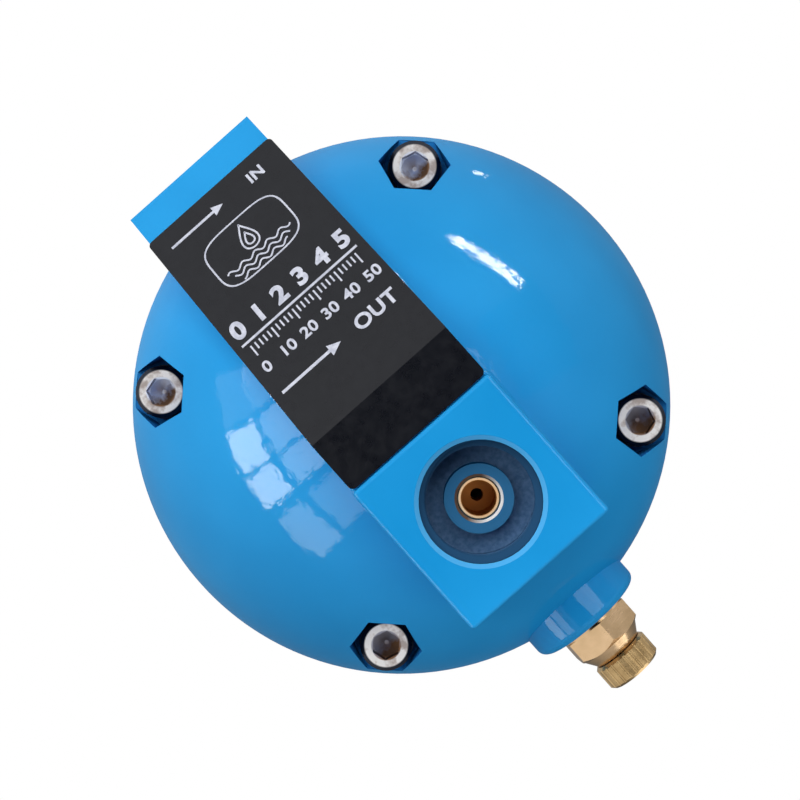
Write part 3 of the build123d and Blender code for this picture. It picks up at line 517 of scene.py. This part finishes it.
SLOPE_POINT, SLOPE_NORMAL = label_slope()
SLOPE_UP = Vector((1, 0, 0)).cross(SLOPE_NORMAL) * -1
SLOPE_TOP = SLOPE_POINT + SLOPE_UP * ((LABEL_TOP - SLOPE_POINT.z) / SLOPE_UP.z)


def on_slope(across, down):
    """A point on the sloping face, across from its middle and down from its top edge."""
    return Vector((0, SLOPE_TOP.y, SLOPE_TOP.z)) + Vector((across, 0, 0)) - SLOPE_UP * down


def printed_word(name, word, across, down, height, weight):
    """A word set from its middle, with capitals of the given height, made a thin mesh on the
    sloping face. The weight is how far its outline is moved outwards."""
    text = bpy.data.curves.new(name, "FONT")
    text.body = word
    text.align_x = "CENTER"
    text.align_y = "CENTER"
    text.size = height / 0.70                # capitals are 0.7 of a letter's size
    text.offset = weight
    text.extrude = INK_DEPTH / 2
    text.space_character = 1.05
    text.resolution_u = 6
    maker = bpy.data.objects.new(name + "_maker", text)
    bpy.context.scene.collection.objects.link(maker)
    bpy.context.view_layer.update()
    flat = maker.evaluated_get(bpy.context.evaluated_depsgraph_get())
    mesh = bpy.data.meshes.new_from_object(flat)
    bpy.data.objects.remove(maker)
    mesh.name = name
    turn = Matrix((Vector((1, 0, 0)), SLOPE_UP, SLOPE_NORMAL)).transposed().to_4x4()
    mesh.transform(Matrix.Translation(on_slope(across, down) + SLOPE_NORMAL * INK_LIFT) @ turn)
    fitted(name, mesh, INK)


def printed(name, plates):
    """Flat shapes in (across, down) on the sloping face, given the ink's thickness: each shape's
    points once above and once below, and a side under every edge that only one face has."""
    points, faces = [], []
    normal = np.array(SLOPE_NORMAL)
    for flat, cells in plates:
        start, count = sum(len(p) for p in points), len(flat)
        place = (np.array(on_slope(0, 0)) + np.outer(flat[:, 0], (1, 0, 0))
                 - np.outer(flat[:, 1], SLOPE_UP))
        points.append(place + normal * (INK_LIFT + INK_DEPTH / 2))
        points.append(place + normal * (INK_LIFT - INK_DEPTH / 2))
        edges = [(cell[k - 1], cell[k]) for cell in cells for k in range(len(cell))]
        shared = set(edges)
        rim = [(a, b) for a, b in edges if (b, a) not in shared]
        faces += [[start + k for k in cell] for cell in cells]
        faces += [[start + count + k for k in reversed(cell)] for cell in cells]
        faces += [[start + a, start + count + a, start + count + b, start + b] for a, b in rim]
    solid(name, np.concatenate(points), faces, INK)


def strip(path, width, closed=False):
    """A line of even width: each point of the path is shifted both ways along its mitre, which is
    the sum of its two edges' normals over one plus their dot product."""
    ahead = np.roll(path, -1, 0) - path
    normal = np.stack([-ahead[:, 1], ahead[:, 0]], -1) / np.linalg.norm(ahead, axis=1)[:, None]
    if not closed:
        normal[-1] = normal[-2]
    before = np.roll(normal, 1, 0)
    if not closed:
        before[0] = normal[0]
    mitre = (normal + before) / (1 + (normal * before).sum(1))[:, None]
    count = len(path)
    last = count if closed else count - 1
    cells = [[k, (k + 1) % count, count + (k + 1) % count, count + k] for k in range(last)]
    return np.concatenate([path + mitre * width / 2, path - mitre * width / 2]), cells


def bar(left, right, top, foot):
    """A filled rectangle."""
    return np.array([(left, top), (right, top), (right, foot), (left, foot)]), [[0, 1, 2, 3]]


def arrow(tail, tip, down, height):
    """An arrow along a row: a bar with a triangle as its head, as high as the row's letters."""
    neck = tip - height
    head = np.array([(neck, down - height / 2), (tip, down), (neck, down + height / 2)])
    return [bar(tail, neck, down - height / 8, down + height / 8), (head, [[0, 1, 2]])]


def frame_line(down, half_width=8.9 * MM, half_height=6.2 * MM):
    """A rounded frame: x and y are the half sizes times the signed roots of cosine and sine."""
    t = np.linspace(0, 2 * math.pi, 96, endpoint=False)
    across = half_width * np.sign(np.cos(t)) * np.abs(np.cos(t)) ** 0.5
    drop = half_height * np.sign(np.sin(t)) * np.abs(np.sin(t)) ** 0.5
    return np.stack([across, down + drop], -1)


def drop_line(down, half):
    """A water drop: x goes as sine t times the 1.5th power of sine t/2, y as minus cosine t."""
    t = np.linspace(0, 2 * math.pi, 64, endpoint=False)[1:]
    return np.stack([0.78 * half * np.sin(t) * np.sin(t / 2) ** 1.5, down - half * np.cos(t)], -1)


def wave_line(down, half, swing=0.42 * MM, wave=3.0 * MM):
    """A water line: a sine about its row."""
    x = np.linspace(-half, half, 60)
    return np.stack([x, down + swing * np.sin(2 * math.pi * x / wave)], -1)


# rows of the print, below the slope's top edge
ROW_IN, ROW_SIGN, ROW_SCALE, ROW_LINE, ROW_TICKS, ROW_SMALL, ROW_OUT = [
    value * MM for value in (4.5, 15.4, 28.6, 31.7, 33.8, 38.4, 44.6)]
SCALE_LEFT, SCALE_STEP = -12.3, 4.9          # place of the nought and the way to the next, in mm
SCALE_STEPS, TICKS_PER_STEP = 5, 5

printed("print_in_arrow", arrow(-12.0 * MM, 0.5 * MM, ROW_IN, 2.3 * MM))
printed_word("print_in", "IN", 8.6 * MM, ROW_IN, 2.4 * MM, 0.10 * MM)
printed("print_sign",
        [strip(frame_line(ROW_SIGN), INK_LINE, closed=True),
         strip(drop_line(ROW_SIGN - 1.6 * MM, 3.1 * MM), INK_LINE, closed=True),
         strip(drop_line(ROW_SIGN - 1.0 * MM, 1.5 * MM), INK_LINE, closed=True)]
        + [strip(wave_line(ROW_SIGN + (2.6 + 1.25 * k) * MM, (7.4 - k) * MM), INK_LINE)
           for k in range(3)])
printed("print_line", [bar(-13.6 * MM, 13.4 * MM, ROW_LINE - 0.25 * MM, ROW_LINE + 0.25 * MM)])
tick_places = np.linspace(SCALE_LEFT, SCALE_LEFT + SCALE_STEP * SCALE_STEPS,
                          SCALE_STEPS * TICKS_PER_STEP + 1)
printed("print_ticks", [bar((x - 0.16) * MM, (x + 0.16) * MM, ROW_TICKS - 1.1 * MM,
                            ROW_TICKS + (0.5 if k % TICKS_PER_STEP else 1.5) * MM)
                        for k, x in enumerate(tick_places)])
for count in range(SCALE_STEPS + 1):
    place = (SCALE_LEFT + SCALE_STEP * count) * MM
    printed_word(f"print_scale_{count}", str(count), place, ROW_SCALE, 3.7 * MM, 0.22 * MM)
    printed_word(f"print_small_{count}", str(10 * count), place, ROW_SMALL, 2.3 * MM, 0.09 * MM)
printed("print_out_arrow", arrow(-13.2 * MM, 0.2 * MM, ROW_OUT, 2.5 * MM))
printed_word("print_out", "OUT", 8.3 * MM, ROW_OUT, 2.9 * MM, 0.12 * MM)

# ---------------------------------------------------------------- stage

FLOOR_DROP = 0.30
FLOOR_RADIUS = 0.50
LIGHT_BELOW, LIGHT_ABOVE = 0.03, 0.40        # the world's strength on matt faces
BEHIND, BELOW = 0.75, 0.66                   # direction in which reflections are greyest
GREY_BEHIND = 0.12                           # and their strength there


def white_world():
    """Plain white to the eye, white in reflections but for a greyer part low behind the valve, and
    a soft light, stronger from above, on everything else."""
    world = bpy.data.worlds.new("studio")
    bpy.context.scene.world = world
    world.use_nodes = True
    w = Wiring(world.node_tree)
    rays = w.nodes.new("ShaderNodeLightPath").outputs
    direction = w.axes(w.nodes.new("ShaderNodeTexCoord").outputs["Generated"])
    soft = w.ramp(direction["Z"], -0.7, 0.7, LIGHT_BELOW, LIGHT_ABOVE)
    low_behind = w.weighed(direction["Y"], BEHIND, direction["Z"], -BELOW)
    mirrored = w.ramp(low_behind, 0.0, 1.0, 1.0, GREY_BEHIND)
    unseen = w.ramp(rays["Is Glossy Ray"], 0.0, 1.0, soft, mirrored)
    seen = w.calc("MAXIMUM", rays["Is Camera Ray"], rays["Is Transmission Ray"])
    back = w.nodes["Background"].inputs
    back["Color"].default_value = (1, 1, 1, 1)
    w.join(w.ramp(seen, 0.0, 1.0, unseen, 1.0), back["Strength"])


def floor_disc():
    """A round floor well below the valve: pale, and brought up to white for the eye, so that only
    the valve's shadow shows on it. It is clear from below and leaves no mirror image."""
    sides, pale = 96, 0.55
    ring = np.linspace(0, 2 * math.pi, sides, endpoint=False)
    points = np.stack([BALL.x + FLOOR_RADIUS * np.cos(ring), BALL.y + FLOOR_RADIUS * np.sin(ring),
                       np.full(sides, BALL.z - FLOOR_DROP)], -1)
    mesh = bpy.data.meshes.new("floor")
    mesh.from_pydata(points.tolist(), [], [list(range(sides))])
    f = Finish("floor_white")
    rays = f.nodes.new("ShaderNodeLightPath").outputs
    seen = f.calc("MAXIMUM", rays["Is Camera Ray"], rays["Is Transmission Ray"])
    from_below = f.nodes.new("ShaderNodeNewGeometry").outputs["Backfacing"]
    mesh.materials.append(f.set(Base_Color=(pale, pale, pale, 1), Roughness=0.9,
                                Emission_Color=(1, 1, 1, 1),
                                Emission_Strength=f.calc("MULTIPLY", seen, pale),
                                Alpha=f.calc("SUBTRACT", 1.0, from_below)))
    floor = bpy.data.objects.new("floor", mesh)
    bpy.context.scene.collection.objects.link(floor)
    floor.visible_glossy = False


white_world()
floor_disc()


# ---------------------------------------------------------------- lamps, windows and cards

def pieces_of(name, nodes):
    """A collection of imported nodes, for a lamp that lights nothing else."""
    group = bpy.data.collections.new(name)
    for node in nodes:
        group.objects.link(NODES[node])
    return group


def lamp(name, towards, distance, size, power, aim=BALL, only=None, mirrored=True, lights=True):
    """A soft rectangular lamp that faces the aim from a direction given in the valve's axes. With
    a collection given, it lights only that. It can be left out of reflections, or be seen in
    nothing else."""
    light = bpy.data.lights.new(name, "AREA")
    light.shape = "RECTANGLE"
    light.size, light.size_y = size
    light.energy = power
    holder = bpy.data.objects.new(name, light)
    away = Vector(towards).normalized()
    holder.location = aim + away * distance
    holder.rotation_euler = away.to_track_quat("Z", "Y").to_euler()
    holder.visible_diffuse = lights
    holder.visible_glossy = mirrored
    bpy.context.scene.collection.objects.link(holder)
    if only:
        holder.light_linking.receiver_collection = only


def window(name, middle, distance, columns, rows, brightness, only, aim=BALL):
    """A window seen only in the gloss of some pieces: one pane for each column and row, given as
    pairs of degrees, round the aim from the middle direction and above its level."""
    for i, (left, right) in enumerate(columns):
        for j, (foot, top) in enumerate(rows):
            turn = math.radians(middle + (left + right) / 2)
            rise = math.radians((foot + top) / 2)
            towards = (math.sin(turn) * math.cos(rise), -math.cos(turn) * math.cos(rise),
                       math.sin(rise))
            size = (math.radians(right - left) * distance, math.radians(top - foot) * distance)
            power = brightness[i][j] * math.pi * size[0] * size[1]
            lamp(f"{name}_{i}_{j}", towards, distance, size, power, aim, only, lights=False)


def card(name, towards, distance, size, shade, aim):
    """A matt card seen only in reflections, facing the aim from a direction: it keeps the faces
    that mirror it deep in colour."""
    away = Vector(towards).normalized()
    turn = away.to_track_quat("Z", "Y").to_matrix()
    points = [aim + away * distance + turn @ Vector((a * size[0] / 2, b * size[1] / 2, 0))
              for a, b in ((-1, -1), (1, -1), (1, 1), (-1, 1))]
    mesh = bpy.data.meshes.new(name)
    mesh.from_pydata(points, [], [[0, 1, 2, 3]])
    mesh.materials.append(Finish(name).set(Base_Color=(shade, shade, shade, 1), Roughness=1.0,
                                           Specular_IOR_Level=0.0))
    holder = bpy.data.objects.new(name, mesh)
    bpy.context.scene.collection.objects.link(holder)
    holder.visible_camera = False
    holder.visible_diffuse = False
    holder.visible_shadow = False


PAINTED = pieces_of("painted_pieces", ["front_shell", "rear_shell"])
GLOSSY = pieces_of("glossy_pieces", ["front_shell", "rear_shell", "label_plate"])
BRASS = pieces_of("brass_pieces", ["drain_body", "drain_knob", "drain_washer", "drain_spindle"])
NOZZLE = pieces_of("nozzle_pieces", ["outlet_nozzle"])
FACING = pieces_of("facing_pieces", ["shell_bolts", "drain_knob"])

# room light, which leaves no mirror image
lamp("key_lamp", (0.03, -0.87, 0.49), 1.0, (0.9, 0.9), 8.8, mirrored=False)
lamp("left_lamp", (-0.80, -0.10, 0.62), 1.0, (0.5, 0.5), 2.6, mirrored=False)
lamp("right_lamp", (0.95, -0.30, 0.0), 1.0, (0.5, 0.5), 1.5, mirrored=False)
lamp("back_lamp", (0.10, 0.85, 0.50), 1.0, (0.9, 0.9), 5.5, mirrored=False)
# windows in the gloss, each middle direction in degrees round from the front
window("left_window", -54, 0.9, columns=((-17, -1.5), (2.5, 18)),
       rows=((-20, -1.5), (3, 15), (16.5, 31), (33, 50)),
       brightness=((9.0, 27.0, 28.5, 3.0), (5.4, 12.0, 11.0, 6.0)), only=GLOSSY)
window("right_window", 71, 0.9, ((-1.6, 1.6),), ((2, 31),), ((80.0,),), GLOSSY)
window("back_window", 124.4, 0.9, ((-1, 1),), ((24, 27),), ((25.0,),), GLOSSY)
window("low_window", 22, 0.9, ((-16, 16),), ((-26, 0),), ((5.4,),), PAINTED)
window("knob_window", 22, 0.5, ((-4, 0), (6, 9)), ((-30, 12),), ((2.0,), (2.0,)), BRASS, DRAIN)
# small lamps on single pieces
lamp("neck_lamp", (0.20, 0.10, -0.95), 0.2, (0.11, 0.11), 0.080, DRAIN, BRASS)
lamp("boss_lamp", (0.0, -1.0, -0.10), 0.12, (0.05, 0.05), 0.010, DRAIN, PAINTED, mirrored=False)
lamp("nozzle_lamp", (0.05, -1.0, -0.15), 0.6, (0.3, 0.3), 0.30, OUTLET, NOZZLE)
lamp("facing_lamp", (0.0, -1.0, 0.0), 0.6, (0.45, 0.45), 0.45, only=FACING)
card("front_card", (0.0, -1.0, -0.04), 1.1, (0.95, 1.00), 0.02, BALL)
card("right_card", (0.87, -0.50, -0.10), 0.5, (0.30, 0.30), 0.75, DRAIN)

bpy.context.scene.view_settings.view_transform = "Standard"

bpy.context.view_layer.update()
